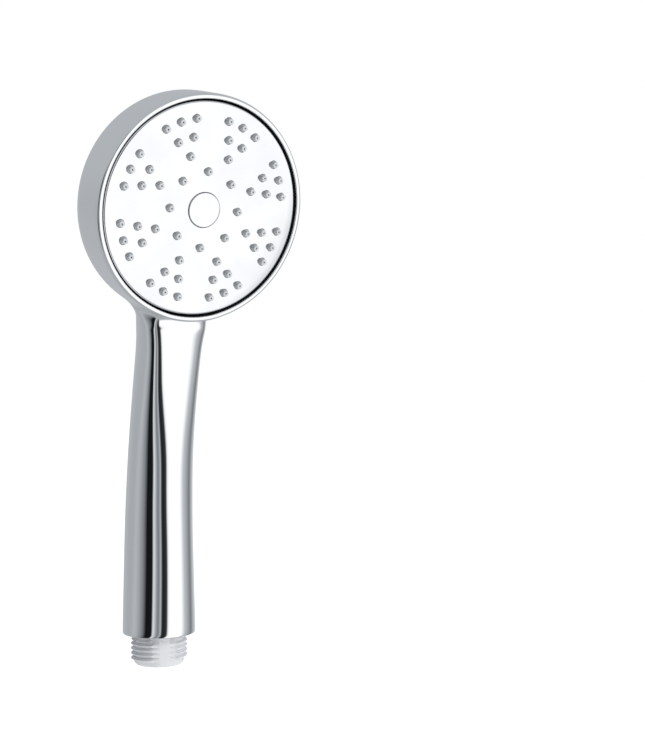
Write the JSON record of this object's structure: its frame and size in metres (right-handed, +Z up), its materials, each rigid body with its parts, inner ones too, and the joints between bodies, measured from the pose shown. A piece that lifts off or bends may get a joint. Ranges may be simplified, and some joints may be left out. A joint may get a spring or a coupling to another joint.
{
  "type": "handheld shower head",
  "caption": "Handheld shower head with a round chromed head, a soft-nozzle spray face and a slim bent handle ending in a threaded water inlet.",
  "frame": {"origin": "centre of the inlet's end face, where the hose washer seats", "axes": "+Z up along the lower handle and the inlet's axis, -Y out of the spray side, +X to the right seen from the spray side"},
  "size_m": [0.0818, 0.0586, 0.211],
  "materials": {
    "chrome": "polished chrome plating on moulded plastic",
    "face_chrome": "bright chrome plating, slightly softer than the body",
    "nozzle_silicone": "soft light grey silicone",
    "white_plastic": "white moulded plastic, slightly glossy",
    "inner_plastic": "natural moulded plastic",
    "valve_plastic": "blue moulded plastic",
    "regulator_plastic": "green moulded plastic",
    "seal_rubber": "black seal rubber",
    "steel": "stainless steel"
  },
  "bodies": {
    "handset": {"body_shell": "chrome", "face_plate": "face_chrome", "centre_cap": "face_chrome", "nozzle_mat": "nozzle_silicone", "nozzle_backing_plate": "inner_plastic", "chamber_cover": "inner_plastic", "chamber_seal": "seal_rubber", "chamber_screws": "steel", "centre_screw": "steel", "centre_screw_seal": "seal_rubber", "handle_tube": "inner_plastic", "tube_upper_o_rings": "seal_rubber", "tube_lower_o_rings": "seal_rubber", "inlet_connector": "white_plastic", "connector_o_ring": "seal_rubber", "connector_snap_ring": "inner_plastic", "inlet_filter_ring": "inner_plastic", "inlet_filter_mesh": "steel", "check_valve_body": "valve_plastic", "check_valve_o_ring": "seal_rubber", "check_valve_spring": "steel", "check_valve_retainer": "valve_plastic", "flow_regulator_body": "regulator_plastic", "flow_regulator_o_ring": "seal_rubber"},
    "valve_poppet": {"check_valve_poppet": "valve_plastic", "check_valve_poppet_seal": "seal_rubber"}
  },
  "joints": [
    {"name": "poppet_lift", "type": "slide", "parent": "handset", "child": "valve_poppet", "axis": [0, 0, 1], "range_m": [0, 0.0025], "stiffness_N_per_m": 100, "springref_m": -0.003, "deforming": ["check_valve_spring"]}
  ]
}
